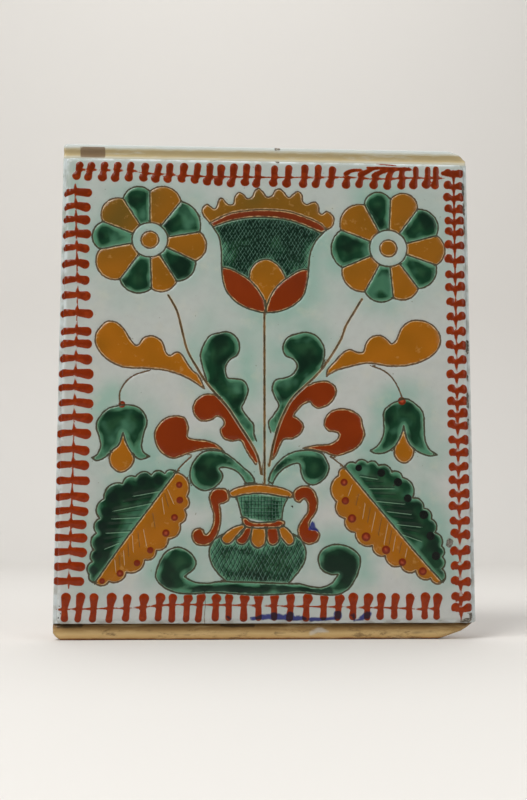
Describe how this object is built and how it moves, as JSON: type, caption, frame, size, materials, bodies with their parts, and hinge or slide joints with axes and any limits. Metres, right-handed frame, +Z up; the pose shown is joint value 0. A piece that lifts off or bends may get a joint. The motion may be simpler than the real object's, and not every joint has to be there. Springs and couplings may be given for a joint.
{
  "type": "stove tile",
  "caption": "Glazed fired-clay stove tile with a raised painted panel, flanges and a box rump that is bedded in a masonry stove.",
  "frame": {"origin": "middle of the rump's lower wall, on its flat rear rim, where the tile is bedded in the stove", "axes": "+X to the right seen from the front, +Y backwards into the stove, +Z up; the glazed face looks along -Y"},
  "size_m": [0.2036, 0.0453, 0.2446],
  "materials": {
    "glazed_clay": "glossy clear glaze over white slip with green, ochre and red-brown painting; bare pale fired clay behind"
  },
  "bodies": {
    "root": {"stove_tile": "glazed_clay"}
  },
  "joints": []
}
